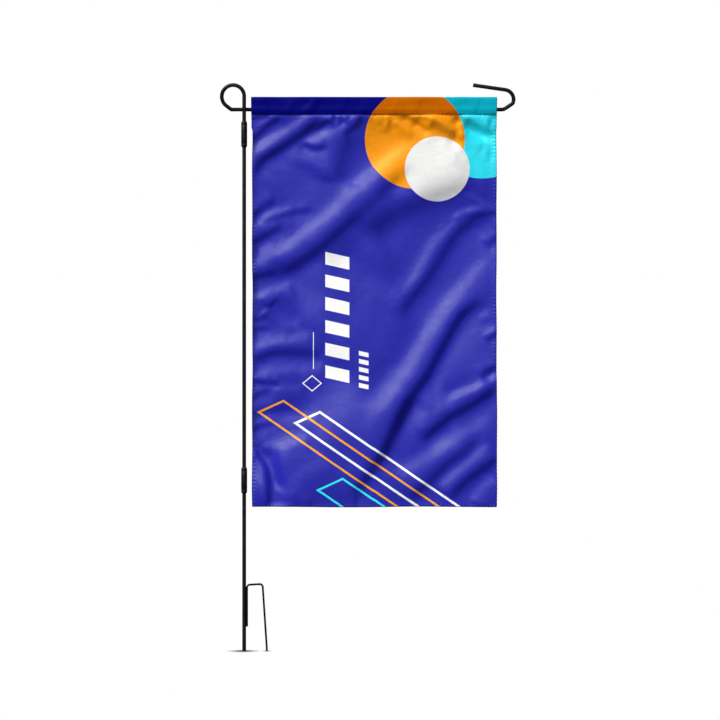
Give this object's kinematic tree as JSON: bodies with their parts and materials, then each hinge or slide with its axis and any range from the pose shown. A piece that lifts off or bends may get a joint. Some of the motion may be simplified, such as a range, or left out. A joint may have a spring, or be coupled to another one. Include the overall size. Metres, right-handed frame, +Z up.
{
  "type": "garden flag on a wire stand",
  "caption": "Rectangular cloth garden flag hung by its top sleeve from the arm of a sectional black wire stand with a pigtail eye, an open hook end and a step prong.",
  "frame": {"origin": "centre of the ground stake's flat lower end, where it enters the ground", "axes": "+Z up along the pole, +X from the pole along the arm and across the flag, -Y the printed front"},
  "size_m": [0.3686, 0.0156, 0.7074],
  "materials": {
    "powder_coat": "semi-gloss black powder coat",
    "weld": "satin black over a weld bead",
    "coupler_plastic": "satin moulded black plastic",
    "flag_fabric": "printed woven polyester, royal blue",
    "pocket_fabric": "woven polyester, navy",
    "thread": "blue polyester sewing thread"
  },
  "bodies": {
    "ground_stake": {"ground_stake": "powder_coat", "step_prong": "powder_coat", "prong_weld_upper": "weld", "prong_weld_lower": "weld"},
    "lower_coupler": {"lower_coupler": "coupler_plastic"},
    "middle_pole": {"middle_pole": "powder_coat"},
    "upper_coupler": {"upper_coupler": "coupler_plastic"},
    "top_arm": {"top_arm": "powder_coat"},
    "rod_pocket": {"rod_pocket": "pocket_fabric", "pocket_stitching": "thread"},
    "flag": {"flag_panel": "flag_fabric", "left_hem": "flag_fabric", "right_hem": "flag_fabric", "bottom_hem": "flag_fabric", "left_stitching": "thread", "right_stitching": "thread", "bottom_stitching": "thread"}
  },
  "joints": [
    {"name": "lower_socket_turn", "type": "hinge", "parent": "ground_stake", "child": "lower_coupler", "pos_m": [0, 0, 0.2123], "axis": [0, 0, 1], "continuous": true},
    {"name": "pole_lift", "type": "slide", "parent": "lower_coupler", "child": "middle_pole", "axis": [0, 0, 1], "range_m": [0, 0.03]},
    {"name": "upper_socket_turn", "type": "hinge", "parent": "middle_pole", "child": "upper_coupler", "pos_m": [0, 0, 0.643], "axis": [0, 0, 1], "continuous": true},
    {"name": "arm_lift", "type": "slide", "parent": "upper_coupler", "child": "top_arm", "axis": [0, 0, 1], "range_m": [0, 0.03]},
    {"name": "pocket_slide", "type": "slide", "parent": "top_arm", "child": "rod_pocket", "axis": [1, 0, 0], "range_m": [-0.0045, 0.006]},
    {"name": "flag_swing", "type": "hinge", "parent": "rod_pocket", "child": "flag", "pos_m": [0.1622, 0.0051, 0.6745], "axis": [1, 0, 0], "range_deg": [-90, 90]}
  ]
}
